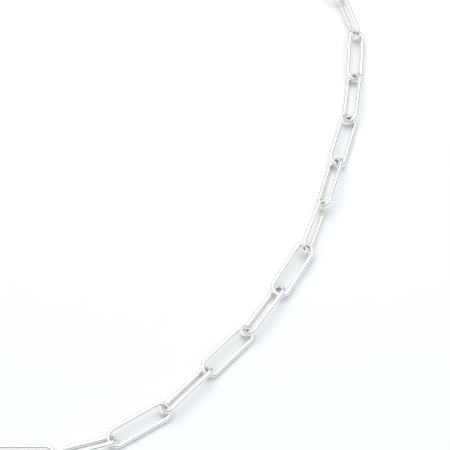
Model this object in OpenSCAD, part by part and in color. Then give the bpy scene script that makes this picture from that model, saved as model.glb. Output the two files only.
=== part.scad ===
// Paperclip chain: a whole loop of long oval links, laid on a table.
// The link at the front of the loop is opposite the clasp.
// Millimetres, +Z up, table at z = 0, origin under the middle of the loop.

/* [Links] */
// Number of long links, even so that both ends of the row lean alike
link_count = 38; // [32:2:40]
// Length of a link, outside
link_len = 14; // [11:0.5:18]
// Clear width inside a link
slot_w = 2.3; // [2:0.1:3]
// Thickness of the round wire of a link
wire_d = 0.95; // [0.75:0.05:1.05]
// Least gap between the wires of two pieces that hold each other
play = 0.3; // [0.2:0.05:0.4]

/* [Jump rings] */
// Room left inside a jump ring between the two pieces that it holds together
ring_room = 0.25; // [0.15:0.05:0.8]
// Thickness of the wire of a jump ring
ring_wire_d = 0.8; // [0.6:0.05:0.9]

/* [Clasp] */
// Outside diameter of the spring ring
clasp_d = 6; // [5.5:0.25:8]
// Thickness of the tube of the spring ring
clasp_tube_d = 1.2; // [1:0.05:1.4]
// Clear diameter inside the eye that is soldered to the spring ring
eye_bore = 2.1; // [1.9:0.1:2.6]
// Thickness of the wire of the eye
eye_wire_d = 0.7; // [0.6:0.05:0.9]
// How far the thumb lever stands out of the spring ring
lever_len = 0.8; // [0.5:0.1:1.2]
// Thickness of the thumb lever
lever_d = 0.7; // [0.5:0.05:0.9]

/* [Lay on the table] */
// Lean of the links whose faces slope down to the outside of the loop
open_lean = 32; // [28:1:38]
// Lean of the links between them, whose faces slope down to the inside
shut_lean = 40; // [34:1:44]
// Lean of the jump rings, steeper than that of the links
ring_lean = 52; // [46:1:60]
// Lean of the clasp, the other way to its two rings
clasp_lean = 36; // [30:1:44]

/* [Hidden] */
$fn = 48;

// Chosen lay of the links at the front, where the chain was put down by hand.
// Each row is [heading, lean]: the heading is the way the row of links runs on,
// turning clockwise seen from above, and a positive lean slopes to the outside.
HEADING = 0;
LEAN = 1;
FRONT = [
    [-75, -80],
    [-94, 32],
    [-97, -40],
    [-105, 32],
    [-105, -42],
    [-108, 72],
    [-119, 16],
    [-122, -40],
    [-131, 32],
    [-131, -40],
    [-146, 32],
    [-163, -36],
    [-180, 32],
];

// Sizes along the wires' centre lines
link_r = (slot_w + wire_d) / 2;
link_straight = link_len - 2 * link_r - wire_d;
// A jump ring takes the spring ring's tube, a link's wire and the play at both
ring_bore = clasp_tube_d + wire_d + 2 * play + ring_room;
ring_r = (ring_bore + ring_wire_d) / 2;
clasp_r = (clasp_d - clasp_tube_d) / 2;
eye_r = (eye_bore + eye_wire_d) / 2;
// The eye's wire is soldered where its centre line meets the spring ring's
eye_x = clasp_r + eye_r;
clasp_clear = eye_x + eye_bore / 2 + clasp_r - clasp_tube_d / 2;

// Order round the loop: the links, a ring, the clasp and the other ring
ring_b = link_count;
clasp_at = link_count + 1;
ring_a = link_count + 2;
piece_count = link_count + 3;
front_count = len(FRONT);
// First link of the front rows, even so that the rows before it alternate
front_at = 2 * floor((link_count - front_count) / 4);

function next(i) = (i + 1) % piece_count;
function before(i) = (i + piece_count - 1) % piece_count;
function is_front(i) = i >= front_at && i < front_at + front_count;
function is_ring(i) = i == ring_a || i == ring_b;
function direction(angle) = [cos(angle), sin(angle)];
function total(v, count) = count <= 0 ? 0 : v[count - 1] + total(v, count - 1);

// Links before the front start shut, and those after it end shut
function plain_lean(i) =
    (i < front_at ? i % 2 == 0 : (i - front_at) % 2 == 1) ? -shut_lean : open_lean;
function lean(i) =
    is_front(i) ? FRONT[i - front_at][LEAN]
    : is_ring(i) ? ring_lean
    : i == clasp_at ? -clasp_lean
    : plain_lean(i);

// Wire and bend at the start and at the end of a piece, and its clear length
function start_wire(i) = is_ring(i) ? ring_wire_d : i == clasp_at ? eye_wire_d : wire_d;
function end_wire(i) = i == clasp_at ? clasp_tube_d : start_wire(i);
function start_r(i) = is_ring(i) ? ring_r : i == clasp_at ? eye_r : link_r;
function end_r(i) = i == clasp_at ? clasp_r : start_r(i);
function clear_len(i) =
    is_ring(i) ? ring_bore : i == clasp_at ? clasp_clear : link_len - 2 * wire_d;

// Height of a piece's axis when its lower side lies on the table
function rest_height(i) = end_r(i) * abs(sin(lean(i))) + end_wire(i) / 2;

// How far apart the wires of two half rings of radius r pass on the axis, so
// that they stay `apart` from each other all round: more where the two lean
// nearly alike and would meet at their flanks
function reach(r, apart, lean_gap) =
    let (spread = 1 - abs(cos(lean_gap)))
    apart <= r * spread ? apart
    : 2 * r - sqrt((2 - spread) * (2 * r * r - apart * apart / spread));

// Joint i is where piece i takes hold of the piece before it
function joint_slack(i) =
    let (
        j = before(i),
        wires = (start_wire(i) + end_wire(j)) / 2,
        r = min(start_r(i), end_r(j))
    )
    reach(r, wires + play, lean(i) - lean(j)) - wires;
function joint_height(i) = max(rest_height(i), rest_height(before(i)));
slacks = [for (i = [0 : piece_count - 1]) joint_slack(i)];
steps = [for (i = [0 : piece_count - 1])
    clear_len(i) - slacks[i] / 2 - slacks[next(i)] / 2];

// Front row of joints, from the chosen headings
front_joints = [for (
    k = 0, p = [0, 0];
    k <= front_count;
    p = p + (k < front_count ? steps[front_at + k] * direction(FRONT[k][HEADING]) : [0, 0]),
    k = k + 1
) p];

// The rest of the loop is one round arc, whose radius closes it
back_count = piece_count - front_count;
function back_piece(k) = (front_at + front_count + k) % piece_count;
back_steps = [for (k = [0 : back_count - 1]) steps[back_piece(k)]];
opening = front_joints[0] - front_joints[front_count];
function half_angles(r) = [for (s = back_steps) asin(s / (2 * r))];
function closing_error(r) =
    2 * r * sin(total(half_angles(r), back_count)) - norm(opening);
function solve_radius(low, high, tries) =
    let (mid = (low + high) / 2)
    tries == 0 ? mid
    : closing_error(mid) < 0 ? solve_radius(mid, high, tries - 1)
    : solve_radius(low, mid, tries - 1);
back_len = total(back_steps, back_count);
back_r = solve_radius(back_len / (2 * PI), back_len, 40);
back_halves = half_angles(back_r);
back_start = atan2(opening.y, opening.x) + total(back_halves, back_count);
function back_heading(k) = back_start - 2 * total(back_halves, k) - back_halves[k];

function heading(i) =
    is_front(i) ? FRONT[i - front_at][HEADING]
    : back_heading((i - front_at - front_count + piece_count) % piece_count);

// All joints in the order of the pieces, then moved to put the loop over the origin
start_joints = [for (
    i = 0, p = [0, 0];
    i < piece_count;
    p = p + steps[i] * direction(heading(i)),
    i = i + 1
) p];
xs = [for (p = start_joints) p.x];
ys = [for (p = start_joints) p.y];
middle = [(min(xs) + max(xs)) / 2, (min(ys) + max(ys)) / 2];
joints = [for (i = [0 : piece_count - 1])
    [start_joints[i].x - middle.x, start_joints[i].y - middle.y, joint_height(i)]];

function link_name(i) = str("link_", i < 9 ? "0" : "", i + 1);

// Puts a piece between its two joints: its own X runs along the row, and its
// clear ends reach past the joints by half of the slack there
module lay(i) {
    from = joints[i];
    to = joints[next(i)];
    way = (to - from) / norm(to - from);
    centre = (from + to) / 2 + way * (slacks[next(i)] - slacks[i]) / 4;
    translate(centre)
        rotate([-lean(i), -asin(way.z), heading(i)])
            children();
}

// Round wire bent to half a ring in the XY plane, open towards -X
module half_ring(r, d) {
    rotate_extrude(angle = 180, start = -90)
        translate([r, 0])
            circle(d = d);
}

module whole_ring(r, d) {
    rotate_extrude()
        translate([r, 0])
            circle(d = d);
}

// One link: two straight wires joined by two half rings, soldered closed
module link() {
    color("silver") {
        for (side = [-1, 1])
            translate([-link_straight / 2, side * link_r, 0])
                rotate([0, 90, 0])
                    cylinder(d = wire_d, h = link_straight);
        for (turn = [0, 180])
            rotate([0, 0, turn])
                translate([link_straight / 2, 0, 0])
                    half_ring(link_r, wire_d);
    }
}

module jump_ring() {
    color("silver")
        whole_ring(ring_r, ring_wire_d);
}

// Spring ring with its eye and thumb lever in one, the eye at its start
module clasp() {
    clear_start = -(eye_x + eye_bore / 2);
    color("silver")
        translate([-clear_start - clasp_clear / 2, 0, 0]) {
            whole_ring(clasp_r, clasp_tube_d);
            translate([-eye_x, 0, 0])
                whole_ring(eye_r, eye_wire_d);
            rotate([-90, 0, 0])
                translate([0, 0, clasp_r])
                    cylinder(d = lever_d, h = clasp_tube_d / 2 + lever_len);
        }
}

for (i = [0 : link_count - 1])
    lay(i) link();
lay(ring_a) jump_ring();  // jump_ring_a
lay(clasp_at) clasp();
lay(ring_b) jump_ring();  // jump_ring_b
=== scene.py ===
"""A silver paperclip chain, laid in a loop on a white table.

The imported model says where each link, jump ring and the clasp lie. This script models each of them
again with its bends, its soldered seam and its rubbed inner curves, dresses it in polished silver
that is tarnished where two pieces meet, and adds the table, the light and the camera. Lengths are
in metres.
"""

import logging
import math
from abc import ABC, abstractmethod
from dataclasses import dataclass, field
from enum import Enum

import bpy
import numpy as np
from mathutils import Matrix, Vector


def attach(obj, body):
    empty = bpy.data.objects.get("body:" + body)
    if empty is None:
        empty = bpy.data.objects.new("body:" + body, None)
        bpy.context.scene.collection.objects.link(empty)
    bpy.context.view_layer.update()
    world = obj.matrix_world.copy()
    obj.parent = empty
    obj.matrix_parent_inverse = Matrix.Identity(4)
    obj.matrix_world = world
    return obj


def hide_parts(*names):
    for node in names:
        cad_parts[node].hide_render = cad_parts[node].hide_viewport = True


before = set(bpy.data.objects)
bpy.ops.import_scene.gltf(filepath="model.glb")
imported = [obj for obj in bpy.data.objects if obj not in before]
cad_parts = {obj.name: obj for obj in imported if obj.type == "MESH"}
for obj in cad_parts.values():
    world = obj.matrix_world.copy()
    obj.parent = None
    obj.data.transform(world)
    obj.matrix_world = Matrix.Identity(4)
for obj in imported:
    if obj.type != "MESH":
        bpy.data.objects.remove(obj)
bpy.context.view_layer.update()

log = logging.getLogger("paperclip_chain")

MM = 0.001
FULL_TURN = 2 * math.pi
HALF_TURN = math.pi
QUARTER_TURN = math.pi / 2
SMOOTH_BELOW = math.radians(40)
TOUCHING = 0.001 * MM
ORIGIN = Vector((0, 0, 0))
BODY = "root"
WIRE_MAP = "wire"
RUB_MARK = "rub"
NODE_SPACING = 220
OPAQUE = 1.0

Colour = tuple[float, float, float]
Socket = bpy.types.NodeSocket
Number = float | Socket


class FinishSlot(Enum):
    """The record's material slots, one kept with each kind of piece."""

    LINKS = "chain_silver"
    RINGS = "ring_silver"
    CLASP = "clasp_silver"


class Travel(Enum):
    """Which way round the loop the row of links is followed, seen from above."""

    CLOCKWISE = -1
    ANTICLOCKWISE = 1


class Joining(Enum):
    """What happens to a second shape that is brought to a piece."""

    SOLDER = "UNION"
    CUT = "DIFFERENCE"


@dataclass(frozen=True)
class Ease:
    """A smooth step from one value to another, while a driving value goes from low to high."""

    low: float
    high: float
    start: float = 0.0
    end: float = 1.0


class NodeTree:
    """A shader node tree that is filled in from left to right."""

    def __init__(self, tree: bpy.types.NodeTree) -> None:
        """Takes the empty node tree of a material, a world or a node group."""
        self.tree = tree
        self.count = 0

    @classmethod
    def inside(cls, owner: bpy.types.Material | bpy.types.World) -> "NodeTree":
        """Empties the node tree of a material or a world, to be filled in.

        Args:
            owner: The material or the world.

        Returns:
            Its tree.
        """
        owner.use_nodes = True
        owner.node_tree.nodes.clear()
        return cls(owner.node_tree)

    def add(self, kind: str, **settings: object) -> bpy.types.Node:
        """Adds one node.

        Args:
            kind: The node's type name, such as ShaderNodeTexNoise.
            **settings: Properties of the node, by name.

        Returns:
            The new node.
        """
        node = self.tree.nodes.new(kind)
        node.location = (NODE_SPACING * self.count, 0)
        self.count += 1
        for name, value in settings.items():
            setattr(node, name, value)
        return node

    def effect(self, group: bpy.types.NodeTree, **given: Number) -> bpy.types.Node:
        """Places a shared effect.

        Args:
            group: The effect's node group.
            **given: What each of its inputs is given, by name.

        Returns:
            The group's node.
        """
        node = self.add("ShaderNodeGroup", node_tree=group)
        for name, value in given.items():
            self.give(node.inputs[name], value)
        return node

    def link(self, source: Socket, target: Socket) -> None:
        """Joins an output socket to an input socket."""
        self.tree.links.new(source, target)

    def give(self, socket: Socket, value: object) -> None:
        """Gives an input socket its value.

        Args:
            socket: The input socket.
            value: Another node's output socket, or the number or colour itself.
        """
        if isinstance(value, Socket):
            self.link(value, socket)
        else:
            socket.default_value = value

    def math(self, operation: str, first: Number, second: Number = 0.0) -> Socket:
        """Adds a Math node.

        Args:
            operation: The operation's name, such as MULTIPLY.
            first: A socket or a number.
            second: A socket or a number, for operations that take two.

        Returns:
            The node's output socket.
        """
        node = self.add("ShaderNodeMath", operation=operation)
        self.give(node.inputs[0], first)
        self.give(node.inputs[1], second)
        return node.outputs[0]

    def noise(self, vector: Socket, scale: Number, detail: float = 2.0) -> Socket:
        """Adds a noise texture.

        Args:
            vector: Where the noise is read.
            scale: Lumps per unit of the vector, a socket or a number.
            detail: How many finer layers the noise has.

        Returns:
            The noise's value, from 0 to 1.
        """
        node = self.add("ShaderNodeTexNoise")
        self.link(vector, node.inputs["Vector"])
        self.give(node.inputs["Scale"], scale)
        node.inputs["Detail"].default_value = detail
        return node.outputs["Fac"]

    def ramp(self, value: Socket, ease: Ease) -> Socket:
        """Adds a Map Range node that eases from one value to another.

        Args:
            value: The socket that drives it.
            ease: The step that it makes.

        Returns:
            The node's output socket.
        """
        node = self.add("ShaderNodeMapRange", interpolation_type="SMOOTHSTEP")
        self.link(value, node.inputs["Value"])
        node.inputs["From Min"].default_value = ease.low
        node.inputs["From Max"].default_value = ease.high
        node.inputs["To Min"].default_value = ease.start
        node.inputs["To Max"].default_value = ease.end
        return node.outputs[0]

    def mix(self, share: Socket, first: Colour | Socket, second: Colour) -> Socket:
        """Adds a node that goes from one colour to another.

        Args:
            share: How much of the second colour shows, from 0 to 1.
            first: A colour or a socket.
            second: A colour.

        Returns:
            The node's colour socket.
        """
        node = self.add("ShaderNodeMix", data_type="RGBA", blend_type="MIX")
        self.link(share, node.inputs["Factor"])
        self.give(node.inputs["A"], first if isinstance(first, Socket) else (*first, OPAQUE))
        node.inputs["B"].default_value = (*second, OPAQUE)
        return node.outputs["Result"]

    def add_light(self, glow: Socket, amount: Socket, colour: Colour) -> Socket:
        """Adds some of a colour to a glow, or takes it away where the colour is negative.

        Args:
            glow: The glow so far.
            amount: How much of the colour is added.
            colour: The colour.

        Returns:
            The new glow.
        """
        scaled = self.add("ShaderNodeVectorMath", operation="SCALE")
        scaled.inputs[0].default_value = colour
        self.link(amount, scaled.inputs["Scale"])
        added = self.add("ShaderNodeVectorMath", operation="ADD")
        self.link(glow, added.inputs[0])
        self.link(scaled.outputs[0], added.inputs[1])
        return added.outputs[0]

    def show(self, shader: bpy.types.Node) -> None:
        """Makes a shader the material's surface."""
        surface = self.add("ShaderNodeOutputMaterial")
        self.link(shader.outputs["BSDF"], surface.inputs["Surface"])


class EffectGroup:
    """A shader node group that is being filled in."""

    def __init__(self, name: str, place: str, numbers: list[str], results: list[str]) -> None:
        """Makes an empty group with its sockets.

        Args:
            name: The group's name.
            place: The name of the input that says where the effect is read.
            numbers: The names of the numbers that the group takes.
            results: The names of the values that the group gives.
        """
        self.group = bpy.data.node_groups.new(name, "ShaderNodeTree")
        self._socket(place, "INPUT", "NodeSocketVector")
        for number in numbers:
            self._socket(number, "INPUT", "NodeSocketFloat")
        for result in results:
            self._socket(result, "OUTPUT", "NodeSocketFloat")
        self.tree = NodeTree(self.group)
        self.given = self.tree.add("NodeGroupInput").outputs
        self.result = self.tree.add("NodeGroupOutput").inputs

    def _socket(self, name: str, side: str, kind: str) -> None:
        """Adds a socket to the group's own inputs or outputs."""
        self.group.interface.new_socket(name=name, in_out=side, socket_type=kind)


class SurfaceEffects:
    """The shader node groups that all the silver finishes share."""

    hazy_specks: Ease = Ease(low=0.45, high=0.75)
    uneven_patches: Ease = Ease(low=0.3, high=0.7, start=0.45)
    film_by_rub: Ease = Ease(low=0.02, high=0.4)
    oxide_by_rub: Ease = Ease(low=0.4, high=0.85)

    def __init__(self) -> None:
        """Builds each group once."""
        self.drawn_lines = self._drawn_lines()
        self.tumbling = self._tumbling()
        self.tarnish = self._tarnish()

    def _drawn_lines(self) -> bpy.types.NodeTree:
        """Fine lines that the draw plate leaves along a wire.

        Returns:
            A group that reads the wire's own map, in turns round the wire, and gives their height.
        """
        made = EffectGroup("drawn_lines", "Wire", ["Lines", "Length"], ["Height"])
        tree = made.tree
        place = tree.add("ShaderNodeSeparateXYZ")
        tree.link(made.given["Wire"], place.inputs[0])
        angle = tree.math("MULTIPLY", place.outputs["Y"], FULL_TURN)
        wrapped = tree.add("ShaderNodeCombineXYZ")
        tree.link(tree.math("COSINE", angle), wrapped.inputs["X"])
        tree.link(tree.math("SINE", angle), wrapped.inputs["Y"])
        run = tree.math("DIVIDE", place.outputs["X"], made.given["Length"])
        tree.link(run, wrapped.inputs["Z"])
        lines = tree.noise(wrapped.outputs[0], made.given["Lines"], detail=3.0)
        tree.link(lines, made.result["Height"])
        return made.group

    def _tumbling(self) -> bpy.types.NodeTree:
        """The slight ripple and haze that polishing in a tumbler leaves.

        Returns:
            A group that reads a place in metres and gives a height and a haze.
        """
        made = EffectGroup("tumbling", "Place", ["Ripples", "Specks"], ["Height", "Haze"])
        tree = made.tree
        ripple = tree.noise(made.given["Place"], made.given["Ripples"], detail=1.0)
        tree.link(ripple, made.result["Height"])
        specks = tree.noise(made.given["Place"], made.given["Specks"], detail=4.0)
        tree.link(tree.ramp(specks, self.hazy_specks), made.result["Haze"])
        return made.group

    def _tarnish(self) -> bpy.types.NodeTree:
        """Tarnish round the places where two pieces rub: a pale film, and dark oxide deep between them.

        Returns:
            A group that reads a place and the rub mark, and gives how much there is of each.
        """
        made = EffectGroup("tarnish", "Place", ["Rub", "Patches"], ["Film", "Oxide"])
        tree = made.tree
        spots = tree.noise(made.given["Place"], made.given["Patches"], detail=2.0)
        patches = tree.ramp(spots, self.uneven_patches)
        tree.link(tree.ramp(made.given["Rub"], self.film_by_rub), made.result["Film"])
        oxide = tree.math("MULTIPLY", patches, tree.ramp(made.given["Rub"], self.oxide_by_rub))
        tree.link(oxide, made.result["Oxide"])
        return made.group


@dataclass(frozen=True)
class SilverFinish:
    """Polished silver, with what drawing, tumbling and rubbing leave on it.

    Patches, specks and ripples are scales of noise per metre, and lines is one per radian round the
    wire. A greater line_length draws the lines out along it. The heights are those of a full bump.
    """

    name: str
    tint: Colour = (0.968, 0.957, 0.915)
    film_tint: Colour = (0.953, 0.937, 0.898)
    oxide_tint: Colour = (0.26, 0.25, 0.23)
    oxide: float = 0.78
    gloss_roughness: float = 0.15
    haze_roughness: float = 0.34
    patches: float = 2600.0
    specks: float = 5200.0
    ripples: float = 1100.0
    ripple_height: float = 0.0018 * MM
    lines: float = 9.0
    line_length: float = 0.6
    line_height: float = 0.0008 * MM

    def material(self, effects: SurfaceEffects) -> bpy.types.Material:
        """Builds the finish.

        Args:
            effects: The node groups that the finishes share.

        Returns:
            The material.
        """
        made = bpy.data.materials.new(self.name)
        tree = NodeTree.inside(made)
        place = tree.add("ShaderNodeTexCoord").outputs["Object"]
        wire = tree.add("ShaderNodeUVMap", uv_map=WIRE_MAP).outputs["UV"]
        rub = tree.add("ShaderNodeAttribute", attribute_name=RUB_MARK).outputs["Fac"]
        drawn = tree.effect(effects.drawn_lines, Wire=wire, Lines=self.lines, Length=self.line_length)
        tumbled = tree.effect(effects.tumbling, Place=place, Ripples=self.ripples, Specks=self.specks)
        tarnished = tree.effect(effects.tarnish, Place=place, Rub=rub, Patches=self.patches)

        shader = tree.add("ShaderNodeBsdfPrincipled")
        shader.inputs["Metallic"].default_value = 1.0
        film = tree.mix(tarnished.outputs["Film"], self.tint, self.film_tint)
        oxide = tree.math("MULTIPLY", tarnished.outputs["Oxide"], self.oxide)
        tree.link(tree.mix(oxide, film, self.oxide_tint), shader.inputs["Base Color"])
        haze = tree.math("MAXIMUM", tumbled.outputs["Haze"], tarnished.outputs["Oxide"])
        dulling = Ease(low=0.0, high=1.0, start=self.gloss_roughness, end=self.haze_roughness)
        tree.link(tree.ramp(haze, dulling), shader.inputs["Roughness"])
        ripple = self._bump(tree, tumbled.outputs["Height"], self.ripple_height)
        line = self._bump(tree, drawn.outputs["Height"], self.line_height)
        tree.link(ripple.outputs["Normal"], line.inputs["Normal"])
        tree.link(line.outputs["Normal"], shader.inputs["Normal"])
        tree.show(shader)
        return made

    @staticmethod
    def _bump(tree: NodeTree, height: Socket, distance: float) -> bpy.types.Node:
        """Adds a bump of a real height.

        Args:
            tree: The material's node tree.
            height: The socket with the height, from 0 to 1.
            distance: The height that 1 stands for.

        Returns:
            The bump node.
        """
        node = tree.add("ShaderNodeBump")
        node.inputs["Distance"].default_value = distance
        tree.link(height, node.inputs["Height"])
        return node


class Bench:
    """The operators that the pieces are modelled with, on one mesh at a time."""

    @staticmethod
    def clear() -> None:
        """Deselects everything."""
        bpy.ops.object.select_all(action="DESELECT")

    @classmethod
    def take(cls, piece: bpy.types.Object) -> None:
        """Selects one piece and nothing else.

        Args:
            piece: The piece that the next operators act on.
        """
        cls.clear()
        piece.select_set(True)
        bpy.context.view_layer.objects.active = piece

    @classmethod
    def unmark(cls, piece: bpy.types.Object) -> None:
        """Selects one piece, but no point, edge or face of its mesh.

        Args:
            piece: The piece whose points or edges are picked out next.
        """
        cls.take(piece)
        bpy.ops.object.mode_set(mode="EDIT")
        bpy.ops.mesh.select_all(action="DESELECT")
        bpy.ops.object.mode_set(mode="OBJECT")

    @classmethod
    def start_wire(cls, name: str, radius: float, sides: int, place: Vector) -> bpy.types.Object:
        """Starts a wire with its round cross-section, facing along X, and goes into edit mode.

        Args:
            name: The piece's name.
            radius: The wire's radius.
            sides: How many points the round has.
            place: The wire's centre there.

        Returns:
            The new object, in edit mode with the round selected.
        """
        cls.clear()
        bpy.ops.mesh.primitive_circle_add(
            vertices=sides,
            radius=radius,
            fill_type="NOTHING",
            location=place,
            rotation=(0, QUARTER_TURN, 0),
        )
        piece = bpy.context.object
        piece.name = piece.data.name = name
        bpy.ops.object.transform_apply(location=True, rotation=True, scale=True)
        bpy.ops.object.mode_set(mode="EDIT")
        bpy.ops.mesh.select_all(action="SELECT")
        return piece

    @staticmethod
    def run(distance: float, steps: int = 1) -> None:
        """Draws the selected end of the wire along X in equal steps, back along X if negative."""
        for _ in range(steps):
            bpy.ops.mesh.extrude_region_move(TRANSFORM_OT_translate={"value": (distance / steps, 0, 0)})

    @staticmethod
    def bend(centre: Vector, angle: float, steps: int) -> None:
        """Bends the selected end of the wire round a centre by an angle, clockwise from above."""
        bpy.ops.mesh.spin(steps=steps, angle=angle, center=centre, axis=(0, 0, 1))

    @staticmethod
    def swell(share: float, centre: Vector) -> None:
        """Gives the selected round of the wire a share of its radius, about the wire's centre."""
        bpy.ops.transform.resize(value=(share, share, share), center_override=centre)

    @classmethod
    def press(cls, piece: bpy.types.Object, spot: Vector, push: Vector, reach: float) -> None:
        """Presses a shallow hollow into a finished wire, as a rubbing neighbour does.

        Args:
            piece: The piece.
            spot: The middle of the hollow, on the surface.
            push: Which way and how deep the metal is gone.
            reach: How far from the spot the hollow ends.
        """
        places = np.array([v.co for v in piece.data.vertices])
        away = np.linalg.norm(places - np.array(spot), axis=1)
        cls.unmark(piece)
        for vertex, nearest in zip(piece.data.vertices, away < away.min() + TOUCHING):
            vertex.select = bool(nearest)
        bpy.ops.object.mode_set(mode="EDIT")
        bpy.ops.transform.translate(
            value=push,
            use_proportional_edit=True,
            proportional_edit_falloff="SMOOTH",
            proportional_size=reach,
        )
        bpy.ops.object.mode_set(mode="OBJECT")

    @staticmethod
    def close(fill: bool = False) -> None:
        """Closes the wire's ends, turns its faces outwards and leaves edit mode.

        Args:
            fill: True where the two ends stay apart and each gets its own face.
        """
        bpy.ops.mesh.select_all(action="SELECT")
        if fill:
            bpy.ops.mesh.fill_holes(sides=0)
        else:
            bpy.ops.mesh.remove_doubles(threshold=TOUCHING)
        bpy.ops.mesh.select_all(action="SELECT")
        bpy.ops.mesh.normals_make_consistent(inside=False)
        bpy.ops.object.mode_set(mode="OBJECT")
        bpy.ops.object.shade_smooth_by_angle(angle=SMOOTH_BELOW)

    @classmethod
    def bring(cls, piece: bpy.types.Object, other: bpy.types.Object, joining: Joining) -> None:
        """Solders a second closed shape to a piece or cuts it out, and uses it up.

        Args:
            piece: The piece that stays.
            other: The second shape.
            joining: Whether it is soldered on or cut out.
        """
        cls.take(piece)
        change = piece.modifiers.new("bring", "BOOLEAN")
        change.operation = joining.value
        change.solver = "EXACT"
        change.object = other
        bpy.ops.object.modifier_apply(modifier=change.name)
        bpy.data.objects.remove(other)
        bpy.ops.object.shade_smooth_by_angle(angle=SMOOTH_BELOW)

    @classmethod
    def copy_to(cls, master: bpy.types.Object, name: str, matrix: Matrix) -> bpy.types.Object:
        """Copies a finished piece with its own mesh and puts the copy in its place.

        Args:
            master: The piece as modelled, at the origin.
            name: The copy's name.
            matrix: Where the copy goes.

        Returns:
            The copy, with its place in its mesh.
        """
        cls.take(master)
        bpy.ops.object.duplicate(linked=False)
        copy = bpy.context.object
        copy.name = copy.data.name = name
        copy.matrix_world = matrix
        bpy.ops.object.transform_apply(location=True, rotation=True, scale=True)
        return copy


@dataclass(frozen=True)
class Lay:
    """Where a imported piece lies: its middle, the way its row runs and the way across its face."""

    middle: Vector
    along: Vector
    across: Vector

    def matrix(self) -> Matrix:
        """The turn and move that take a piece from the origin to its place."""
        turned = Matrix((self.along, self.across, self.along.cross(self.across))).transposed()
        return Matrix.Translation(self.middle) @ turned.to_4x4()


class PackedPiece:
    """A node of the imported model, measured by the area of its surface."""

    def __init__(self, node: str) -> None:
        """Reads the node's triangles.

        Args:
            node: The node's name.
        """
        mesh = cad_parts[node].data
        mesh.calc_loop_triangles()
        self.places = np.array([v.co for v in mesh.vertices])
        corners = self.places[np.array([t.vertices[:] for t in mesh.loop_triangles])]
        self.centres = corners.mean(axis=1)
        normals = np.cross(corners[:, 1] - corners[:, 0], corners[:, 2] - corners[:, 0])
        self.areas = np.linalg.norm(normals, axis=1) / 2
        self.middle = self._mean(np.ones(len(self.areas), bool))
        # The axes come in order, from that of the least spread to that of the most
        spread = self.centres - self.middle
        _, axes = np.linalg.eigh((spread * self.areas[:, None]).T @ spread)
        self.thin = Vector(axes[:, 0])
        self.long = Vector(axes[:, 2])

    def _mean(self, chosen: np.ndarray) -> np.ndarray:
        """The middle, by area, of the triangles that are marked as chosen."""
        return np.average(self.centres[chosen], axis=0, weights=self.areas[chosen])

    def face(self) -> Vector:
        """The way out of the piece's face, upwards."""
        return self.thin if self.thin.z > 0 else -self.thin

    def row_way(self, travel: Travel) -> Vector:
        """The way the row runs past the piece, in its own plane.

        Args:
            travel: Which way round the loop the row is followed.

        Returns:
            A direction of length one.
        """
        way = Vector((-self.middle[1], self.middle[0], 0)) * travel.value
        face = self.face()
        return (way - face * way.dot(face)).normalized()

    def _lay_along(self, along: Vector) -> Lay:
        """The lay round the piece's own middle, with its face up."""
        return Lay(Vector(self.middle), along, self.face().cross(along))

    def lay_long(self, travel: Travel) -> Lay:
        """The lay of a long piece, which runs along its length."""
        return self._lay_along(self.long if self.long.dot(self.row_way(travel)) > 0 else -self.long)

    def lay_round(self, travel: Travel) -> Lay:
        """The lay of a round piece, which runs along its row."""
        return self._lay_along(self.row_way(travel))

    def lay_lopsided(self, end_share: float, passes: int) -> Lay:
        """The lay of a piece that is alike on both sides of its length but for a nub at its middle.

        The nub turns the first guess of the piece's length a little. So the way along it is found
        again, each time from the middles of its two ends.

        Args:
            end_share: How much of the length at each end has no nub.
            passes: How many times the way along it is found again.

        Returns:
            The lay, which runs from the narrow end to the wide one, with its middle in the narrow
            end and the nub on its +Y side.
        """
        along = self.long
        for _ in range(passes):
            at = self.centres @ np.array(along)
            reach = (at.max() - at.min()) * end_share
            narrow, wide = at < at.min() + reach, at > at.max() - reach
            along = Vector(self._mean(wide) - self._mean(narrow)).normalized()
        if self.areas[wide].sum() < self.areas[narrow].sum():
            narrow = wide
            along = -along
        middle = self._mean(narrow)
        across = self.face().cross(along)
        sides = (self.places - middle) @ np.array(across)
        if sides.max() < -sides.min():
            across = -across
        return Lay(Vector(middle), along, across)


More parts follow.
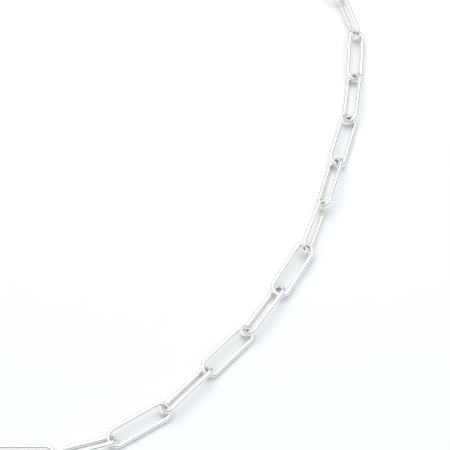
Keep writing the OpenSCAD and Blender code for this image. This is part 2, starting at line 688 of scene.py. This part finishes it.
@dataclass
class RoundWire(ABC):
    """A piece bent from round wire, closed on itself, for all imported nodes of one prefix."""

    finish: SilverFinish
    slot: FinishSlot
    node_prefix: str
    sides: int = 32

    @abstractmethod
    def model(self) -> bpy.types.Object:
        """Builds the piece once, at the origin, with its row along X.

        Returns:
            The piece.
        """

    @abstractmethod
    def lay(self, packed: PackedPiece, travel: Travel) -> Lay:
        """Where a copy of the piece goes.

        Args:
            packed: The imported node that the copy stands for.
            travel: Which way round the loop the row is followed.

        Returns:
            The lay.
        """

    @abstractmethod
    def follow(self, places: np.ndarray) -> tuple[np.ndarray, np.ndarray]:
        """Where places on the surface are along the wire and round it.

        Args:
            places: One row for each place.

        Returns:
            The distance along the wire from its start, and the angle round it from the outside.
        """

    def build(self, travel: Travel, effects: SurfaceEffects) -> None:
        """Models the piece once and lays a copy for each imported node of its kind.

        Args:
            travel: Which way round the loop the row is followed.
            effects: The node groups that the finishes share.
        """
        material = self.finish.material(effects)
        master = self.model()
        for node in sorted(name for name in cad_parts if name.startswith(self.node_prefix)):
            matrix = self.lay(PackedPiece(node), travel).matrix()
            self._dress(Bench.copy_to(master, "silver_" + node, matrix), material, node)
        bpy.data.objects.remove(master)

    def _dress(self, piece: bpy.types.Object, material: bpy.types.Material, node: str) -> None:
        """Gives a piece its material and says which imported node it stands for.

        Args:
            piece: The finished piece.
            material: Its finish.
            node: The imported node.
        """
        piece.data.materials.clear()
        piece.data.materials.append(material)
        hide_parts(node)
        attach(piece, BODY)
        log.info("%s stands for %s, %d faces", piece.name, node, len(piece.data.polygons))

    def map_wire(self, piece: bpy.types.Object, length: float, radius: float) -> None:
        """Unwraps the wire: U runs along it, in turns round it, and V goes once round it.

        Args:
            piece: The piece, at the origin.
            length: The wire's whole length.
            radius: The wire's radius.
        """
        mesh = piece.data
        along, angle = self.follow(np.array([v.co for v in mesh.vertices]))
        face_along, face_angle = self.follow(np.array([face.center for face in mesh.polygons]))
        values = np.zeros((len(mesh.loops), 2))
        # Each corner is measured from its face's middle, so that no face is stretched over a whole turn
        for face, middle, outward in zip(mesh.polygons, face_along, face_angle):
            loops = list(face.loop_indices)
            corners = list(face.vertices)
            way = (along[corners] - middle + length / 2) % length - length / 2
            turn = (angle[corners] - outward + HALF_TURN) % FULL_TURN - HALF_TURN
            values[loops, 0] = (middle + way) / (FULL_TURN * radius)
            values[loops, 1] = (outward + turn) / FULL_TURN
        layer = mesh.uv_layers.new(name=WIRE_MAP)
        layer.uv.foreach_set("vector", values.astype(np.float32).ravel())

    @staticmethod
    def mark_rub(piece: bpy.types.Object, spots: list[Vector], reach: float) -> None:
        """Marks how near each point is to the places where neighbours rub.

        Args:
            piece: The piece, at the origin.
            spots: The middles of those places, on the surface.
            reach: How far the rubbing reaches.
        """
        mesh = piece.data
        places = np.array([v.co for v in mesh.vertices])
        marks = np.zeros(len(places))
        for spot in spots:
            away = np.linalg.norm(places - np.array(spot), axis=1)
            marks = np.maximum(marks, np.exp(-((away / reach) ** 2)))
        attribute = mesh.attributes.new(RUB_MARK, "FLOAT", "POINT")
        attribute.data.foreach_set("value", marks.astype(np.float32))


@dataclass
class LongLink(RoundWire):
    """A long oval link: two straight wires and two half rings, soldered closed in one straight.

    The wire is thinnest at seam_dip from the joint and full again at seam_reach, on both sides.
    """

    length: float = 14 * MM
    opening: float = 2.3 * MM
    wire: float = 0.95 * MM
    bend_steps: int = 28
    straight_steps: int = 6
    seam_reach: float = 0.34 * MM
    seam_dip: float = 0.12 * MM
    seam_share: float = 0.984
    rub_depth: float = 0.02 * MM
    rub_reach: float = 0.7 * MM
    tarnish_reach: float = 1.0 * MM

    @property
    def bend(self) -> float:
        """Radius of the bends, to the wire's centre line."""
        return (self.opening + self.wire) / 2

    @property
    def straight(self) -> float:
        """Length of the straight wires."""
        return self.length - self.wire - 2 * self.bend

    @property
    def wire_length(self) -> float:
        """Length of the wire that the link is bent from."""
        return 2 * self.straight + FULL_TURN * self.bend

    def model(self) -> bpy.types.Object:
        """Bends the link once, at the origin, with its length along X.

        Returns:
            The link.
        """
        half = self.straight / 2
        link = Bench.start_wire("long_link", self.wire / 2, self.sides, Vector((0, self.bend, 0)))
        self._seam(outward=True)
        Bench.run(half - self.seam_reach, self.straight_steps // 2)
        Bench.bend(Vector((half, 0, 0)), HALF_TURN, self.bend_steps)
        Bench.run(-self.straight, self.straight_steps)
        Bench.bend(Vector((-half, 0, 0)), HALF_TURN, self.bend_steps)
        Bench.run(half - self.seam_reach, self.straight_steps // 2)
        self._seam(outward=False)
        Bench.close()
        self.map_wire(link, self.wire_length, self.wire / 2)
        spots = [Vector((side * (half + self.opening / 2), 0, 0)) for side in (-1, 1)]
        for spot in spots:
            Bench.press(link, spot, spot.normalized() * self.rub_depth, self.rub_reach)
        self.mark_rub(link, spots, self.tarnish_reach)
        return link

    def _seam(self, outward: bool) -> None:
        """Draws one half of the soldered seam, with a faint neck a little way from the joint.

        Args:
            outward: True from the joint on, False up to the joint.
        """
        at = 0.0 if outward else -self.seam_reach
        neck = self.seam_dip if outward else self.seam_reach - self.seam_dip
        for run, share in ((neck, self.seam_share), (self.seam_reach - neck, 1 / self.seam_share)):
            Bench.run(run)
            at += run
            Bench.swell(share, Vector((at, self.bend, 0)))

    def lay(self, packed: PackedPiece, travel: Travel) -> Lay:
        """Where a copy of the link goes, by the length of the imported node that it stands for."""
        return packed.lay_long(travel)

    def follow(self, places: np.ndarray) -> tuple[np.ndarray, np.ndarray]:
        """Where places on the surface are along the wire and round it.

        Args:
            places: One row for each place.

        Returns:
            The distance along the wire from the seam, and the angle round it from the outside.
        """
        half, r = self.straight / 2, self.bend
        x, y, z = places.T
        # The wire runs from the seam, at the middle of the +Y straight, towards +X and on round
        past = np.clip(np.abs(x) - half, 0, None) * np.sign(x)
        turned = np.arctan2(np.abs(past), y)
        run = np.clip(x, -half, half)
        along = np.where(y >= 0, run, self.straight + HALF_TURN * r - run)
        along = np.where(x > half, half + r * turned, along)
        along = np.where(x < -half, -half - r * turned, along)
        return along % self.wire_length, np.arctan2(z, np.hypot(past, y) - r)


@dataclass
class BentRing(RoundWire):
    """A wire or tube bent to a round, flat in the XY plane, with its centre at the origin."""

    @property
    @abstractmethod
    def bend(self) -> float:
        """Radius of the ring, to the wire's centre line."""

    def follow(self, places: np.ndarray) -> tuple[np.ndarray, np.ndarray]:
        """Where places on the surface are along the wire and round it.

        Args:
            places: One row for each place.

        Returns:
            The distance along the wire from +Y, clockwise, and the angle round it from the outside.
        """
        x, y, z = places.T
        along = self.bend * (np.arctan2(x, y) % FULL_TURN)
        return along, np.arctan2(z, np.hypot(x, y) - self.bend)


@dataclass
class JumpRing(BentRing):
    """A round wire ring with its saw cut pinched shut."""

    bore: float = 3.0 * MM
    wire: float = 0.8 * MM
    steps: int = 72
    cut: float = 0.03 * MM
    cut_at: float = 0.35 * FULL_TURN
    tarnish_reach: float = 0.9 * MM

    @property
    def bend(self) -> float:
        """Radius of the ring, to the wire's centre line."""
        return (self.bore + self.wire) / 2

    def model(self) -> bpy.types.Object:
        """Bends the ring once, at the origin, flat in the XY plane.

        Returns:
            The ring.
        """
        ring = Bench.start_wire("jump_ring", self.wire / 2, self.sides, Vector((0, self.bend, 0)))
        Bench.bend(ORIGIN, FULL_TURN - self.cut / self.bend, self.steps)
        Bench.close(fill=True)
        self.map_wire(ring, FULL_TURN * self.bend, self.wire / 2)
        ring.data.transform(Matrix.Rotation(self.cut_at, 4, "Z"))
        spots = [Vector((side * self.bore / 2, 0, 0)) for side in (-1, 1)]
        self.mark_rub(ring, spots, self.tarnish_reach)
        return ring

    def lay(self, packed: PackedPiece, travel: Travel) -> Lay:
        """Where a copy of the ring goes, by the row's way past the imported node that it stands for."""
        return packed.lay_round(travel)


@dataclass
class SpringClasp(BentRing):
    """A spring ring clasp: a slotted tube with its latch shut, a thumb lever and a soldered eye.

    The lever stands at +Y, and angles along the tube run clockwise from it. At each end of the thin
    latch the tube narrows over the angle of the lip.
    """

    outside: float = 6 * MM
    tube: float = 1.2 * MM
    eye_bore: float = 2.1 * MM
    eye_wire: float = 0.7 * MM
    lever_length: float = 0.8 * MM
    lever: float = 0.7 * MM
    lever_rounding: float = 0.21 * MM
    rounding_steps: int = 5
    latch_share: float = 0.8
    latch_from: float = math.radians(48)
    latch_angle: float = math.radians(56)
    lip: float = math.radians(1.5)
    slot_width: float = 0.26 * MM
    slot_angle: float = math.radians(56)
    steps_per_turn: int = 96
    tarnish_reach: float = 1.0 * MM
    end_share: float = 0.25
    passes: int = 3

    @property
    def bend(self) -> float:
        """Radius of the spring ring, to the tube's centre line."""
        return (self.outside - self.tube) / 2

    @property
    def eye_bend(self) -> float:
        """Radius of the eye, to its wire's centre line."""
        return (self.eye_bore + self.eye_wire) / 2

    @property
    def eye_x(self) -> float:
        """X of the eye's centre, soldered on where its wire's centre line meets the tube's."""
        return -(self.bend + self.eye_bend)

    def model(self) -> bpy.types.Object:
        """Builds the clasp once, with its spring ring round the origin and its eye towards -X.

        Returns:
            The clasp.
        """
        body = self._tube()
        Bench.bring(body, self._lever_slot(), Joining.CUT)
        Bench.bring(body, self._eye(), Joining.SOLDER)
        Bench.bring(body, self._thumb_lever(), Joining.SOLDER)
        body.name = body.data.name = "spring_clasp"
        self.map_wire(body, FULL_TURN * self.bend, self.tube / 2)
        rubbed = (self.eye_x - self.eye_bore / 2, self.bend - self.tube / 2)
        self.mark_rub(body, [Vector((x, 0, 0)) for x in rubbed], self.tarnish_reach)
        return body

    def _arc(self, angle: float) -> None:
        """Bends the wire on round the origin by an angle, clockwise from above."""
        Bench.bend(ORIGIN, angle, max(1, round(self.steps_per_turn * abs(angle) / FULL_TURN)))

    def _tube(self) -> bpy.types.Object:
        """Bends the spring ring's tube, with the thinner latch across its mouth.

        Returns:
            The tube.
        """
        body = Bench.start_wire("spring_ring", self.tube / 2, self.sides, Vector((0, self.bend, 0)))
        rest = FULL_TURN - self.latch_from - self.latch_angle - 2 * self.lip
        self._arc(self.latch_from)
        self._arc(self.lip)
        self._swell(self.latch_share, self.latch_from + self.lip)
        self._arc(self.latch_angle)
        self._arc(self.lip)
        self._swell(1 / self.latch_share, FULL_TURN - rest)
        self._arc(rest)
        Bench.close()
        return body

    def _swell(self, share: float, turned: float) -> None:
        """Gives the round that the tube has turned to, clockwise from +Y, a share of its radius."""
        Bench.swell(share, Vector((self.bend * math.sin(turned), self.bend * math.cos(turned), 0)))

    def _lever_slot(self) -> bpy.types.Object:
        """Bends the shape of the slot outside on the tube, which the lever slides back in.

        Returns:
            The shape to cut out.
        """
        edge = Vector((0, self.bend + self.tube / 2, 0))
        slot = Bench.start_wire("lever_slot", self.slot_width / 2, self.sides // 2, edge)
        self._arc(-self.slot_angle)
        Bench.close(fill=True)
        return slot

    def _eye(self) -> bpy.types.Object:
        """Bends the eye that is soldered to the spring ring.

        Returns:
            The eye.
        """
        centre = Vector((self.eye_x, 0, 0))
        start = centre + Vector((0, self.eye_bend, 0))
        eye = Bench.start_wire("clasp_eye", self.eye_wire / 2, self.sides, start)
        Bench.bend(centre, FULL_TURN, self.steps_per_turn // 2)
        Bench.close()
        return eye

    def _thumb_lever(self) -> bpy.types.Object:
        """Turns the thumb lever, with a rounded tip.

        Returns:
            The lever.
        """
        Bench.clear()
        height = self.tube / 2 + self.lever_length
        bpy.ops.mesh.primitive_cylinder_add(
            vertices=self.sides,
            radius=self.lever / 2,
            depth=height,
            location=(0, self.bend + height / 2, 0),
            rotation=(-QUARTER_TURN, 0, 0),
        )
        lever = bpy.context.object
        bpy.ops.object.transform_apply(location=True, rotation=True, scale=True)
        Bench.unmark(lever)
        tip = self.bend + height - TOUCHING
        for edge in lever.data.edges:
            edge.select = min(lever.data.vertices[v].co.y for v in edge.vertices) > tip
        bpy.ops.object.mode_set(mode="EDIT")
        bpy.ops.mesh.bevel(offset=self.lever_rounding, segments=self.rounding_steps, affect="EDGES")
        bpy.ops.object.mode_set(mode="OBJECT")
        return lever

    def lay(self, packed: PackedPiece, travel: Travel) -> Lay:
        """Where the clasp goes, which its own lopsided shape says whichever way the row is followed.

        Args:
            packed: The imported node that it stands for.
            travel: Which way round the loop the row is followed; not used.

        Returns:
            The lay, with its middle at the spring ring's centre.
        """
        lay = packed.lay_lopsided(self.end_share, self.passes)
        far = max((packed.places - np.array(lay.middle)) @ np.array(lay.along))
        centre = lay.middle + lay.along * (far - self.outside / 2)
        return Lay(centre, lay.along, lay.across)


def long_links() -> LongLink:
    """The long links in their finish."""
    return LongLink(SilverFinish("polished_link_silver"), FinishSlot.LINKS, "link_")


def jump_rings() -> JumpRing:
    """The jump rings in theirs, with wider lines from the draw plate."""
    return JumpRing(SilverFinish("polished_ring_silver", lines=7.0), FinishSlot.RINGS, "jump_ring_")


def spring_clasp() -> SpringClasp:
    """The clasp in its own, which is glossier."""
    finish = SilverFinish("polished_clasp_silver", gloss_roughness=0.07, line_height=0.0004 * MM)
    return SpringClasp(finish, FinishSlot.CLASP, "clasp")


@dataclass
class Necklace:
    """The whole loop: the row of long links, two jump rings and the clasp."""

    travel: Travel = Travel.CLOCKWISE
    links: LongLink = field(default_factory=long_links)
    rings: JumpRing = field(default_factory=jump_rings)
    clasp: SpringClasp = field(default_factory=spring_clasp)

    def build(self, effects: SurfaceEffects) -> None:
        """Models each kind of piece once, with the finishes' shared effects, and lays its copies."""
        for kind in (self.links, self.rings, self.clasp):
            kind.build(self.travel, effects)


@dataclass(frozen=True)
class TableTop:
    """The plain white table under the chain."""

    size: float = 3.0
    tint: Colour = (0.90, 0.905, 0.91)
    grain: float = 400.0
    roughness: Ease = Ease(low=0.3, high=0.7, start=0.75, end=0.85)

    def build(self) -> None:
        """Lays the table with its upper side at height zero."""
        Bench.clear()
        bpy.ops.mesh.primitive_plane_add(size=self.size, location=ORIGIN)
        table = bpy.context.object
        table.name = table.data.name = "table_top"
        made = bpy.data.materials.new("matt_white_table")
        tree = NodeTree.inside(made)
        shader = tree.add("ShaderNodeBsdfPrincipled")
        shader.inputs["Base Color"].default_value = (*self.tint, OPAQUE)
        grain = tree.noise(tree.add("ShaderNodeTexCoord").outputs["Object"], self.grain)
        tree.link(tree.ramp(grain, self.roughness), shader.inputs["Roughness"])
        tree.show(shader)
        table.data.materials.append(made)


@dataclass(frozen=True)
class WhiteRoom:
    """The bright room: lightest overhead, lighter to the window, darker behind the camera."""

    walls: Colour = (0.545, 0.585, 0.635)
    ceiling: Colour = (0.94, 1.00, 1.05)
    ceiling_power: float = 3.0
    window: Colour = (0.156, 0.126, 0.115)
    window_azimuth: float = math.radians(-145)
    shade: Colour = (-0.69, -0.69, -0.71)
    shade_power: float = 2.0
    darkest: float = 0.02

    def build(self) -> None:
        """Makes the room the scene's world."""
        world = bpy.data.worlds.new("white_room")
        bpy.context.scene.world = world
        tree = NodeTree.inside(world)
        walls = tree.add("ShaderNodeCombineXYZ")
        for socket, value in zip(walls.inputs, self.walls):
            socket.default_value = value
        way = tree.add("ShaderNodeTexCoord").outputs["Generated"]
        parts = tree.add("ShaderNodeSeparateXYZ")
        tree.link(way, parts.inputs[0])
        height = tree.math("MAXIMUM", parts.outputs["Z"], 0.0)
        overhead = tree.math("POWER", height, self.ceiling_power)
        glow = tree.add_light(walls.outputs[0], overhead, self.ceiling)

        # Added on the window's side and taken away on the side opposite
        toward = tree.add("ShaderNodeVectorMath", operation="DOT_PRODUCT")
        tree.link(way, toward.inputs[0])
        toward.inputs[1].default_value = (math.sin(self.window_azimuth), math.cos(self.window_azimuth), 0)
        glow = tree.add_light(glow, toward.outputs["Value"], self.window)

        # Taken away behind the camera, most of all low down
        behind = tree.math("MAXIMUM", tree.math("MULTIPLY", parts.outputs["Y"], -1.0), 0.0)
        shaded = tree.math("POWER", behind, self.shade_power)
        shaded = tree.math("MULTIPLY", shaded, tree.math("SUBTRACT", 1.0, height))
        glow = tree.add_light(glow, shaded, self.shade)

        lit = tree.add("ShaderNodeVectorMath", operation="MAXIMUM")
        tree.link(glow, lit.inputs[0])
        lit.inputs[1].default_value = (self.darkest, self.darkest, self.darkest)
        back = tree.add("ShaderNodeBackground")
        tree.link(lit.outputs[0], back.inputs["Color"])
        tree.link(back.outputs[0], tree.add("ShaderNodeOutputWorld").inputs["Surface"])


@dataclass(frozen=True)
class SoftBox:
    """The round soft light over the far side of the chain."""

    power: float = 0.38
    tint: Colour = (1.0, 0.83, 0.62)
    size: float = 0.35
    distance: float = 0.35
    azimuth: float = 0.0
    elevation: float = math.radians(65)

    def build(self, target: Vector) -> None:
        """Hangs the light.

        Args:
            target: What it points at.
        """
        light = bpy.data.lights.new("soft_box", "AREA")
        light.shape = "DISK"
        light.size = self.size
        light.energy = self.power
        light.color = self.tint
        lamp = bpy.data.objects.new("soft_box", light)
        bpy.context.scene.collection.objects.link(lamp)
        flat = math.cos(self.elevation)
        x = math.sin(self.azimuth) * flat
        y = math.cos(self.azimuth) * flat
        way = Vector((x, y, math.sin(self.elevation)))
        lamp.location = target + way * self.distance
        lamp.rotation_euler = way.to_track_quat("Z", "Y").to_euler()


@dataclass(frozen=True)
class PhotoCamera:
    """The camera, at the photograph's angle above the table."""

    distance: float = 449 * MM
    elevation: float = math.radians(52)
    focal_pixels: float = 2245.0
    frame_pixels: float = 450.0
    sensor: float = 36.0
    nearest: float = 0.01
    farthest: float = 10.0

    def build(self, target: Vector) -> None:
        """Sets the camera up.

        Args:
            target: What it points at.
        """
        data = bpy.data.cameras.new("photo_camera")
        data.sensor_width = self.sensor
        data.lens = self.sensor * self.focal_pixels / self.frame_pixels
        data.clip_start = self.nearest
        data.clip_end = self.farthest
        camera = bpy.data.objects.new("photo_camera", data)
        bpy.context.scene.collection.objects.link(camera)
        back = Vector((0, -math.cos(self.elevation), math.sin(self.elevation)))
        camera.location = target + back * self.distance
        camera.rotation_euler = (QUARTER_TURN - self.elevation, 0, 0)
        bpy.context.scene.camera = camera


@dataclass(frozen=True)
class Studio:
    """The table, the light and the camera round the necklace."""

    target_x: float = 42.87 * MM
    target_y: float = -20.22 * MM
    table: TableTop = TableTop()
    room: WhiteRoom = WhiteRoom()
    soft_box: SoftBox = SoftBox()
    camera: PhotoCamera = PhotoCamera()

    def build(self) -> None:
        """Sets everything round the necklace."""
        target = Vector((self.target_x, self.target_y, 0))
        self.table.build()
        self.room.build()
        self.soft_box.build(target)
        self.camera.build(target)
        view = bpy.context.scene.view_settings
        view.view_transform = "Standard"
        view.look = "None"
        log.info("studio set round %.2f, %.2f mm", self.target_x / MM, self.target_y / MM)


def main() -> None:
    """Builds the necklace and then the studio round it."""
    logging.basicConfig(level=logging.INFO, format="%(name)s: %(message)s")
    Necklace().build(SurfaceEffects())
    Studio().build()


if __name__ == "__main__":
    main()
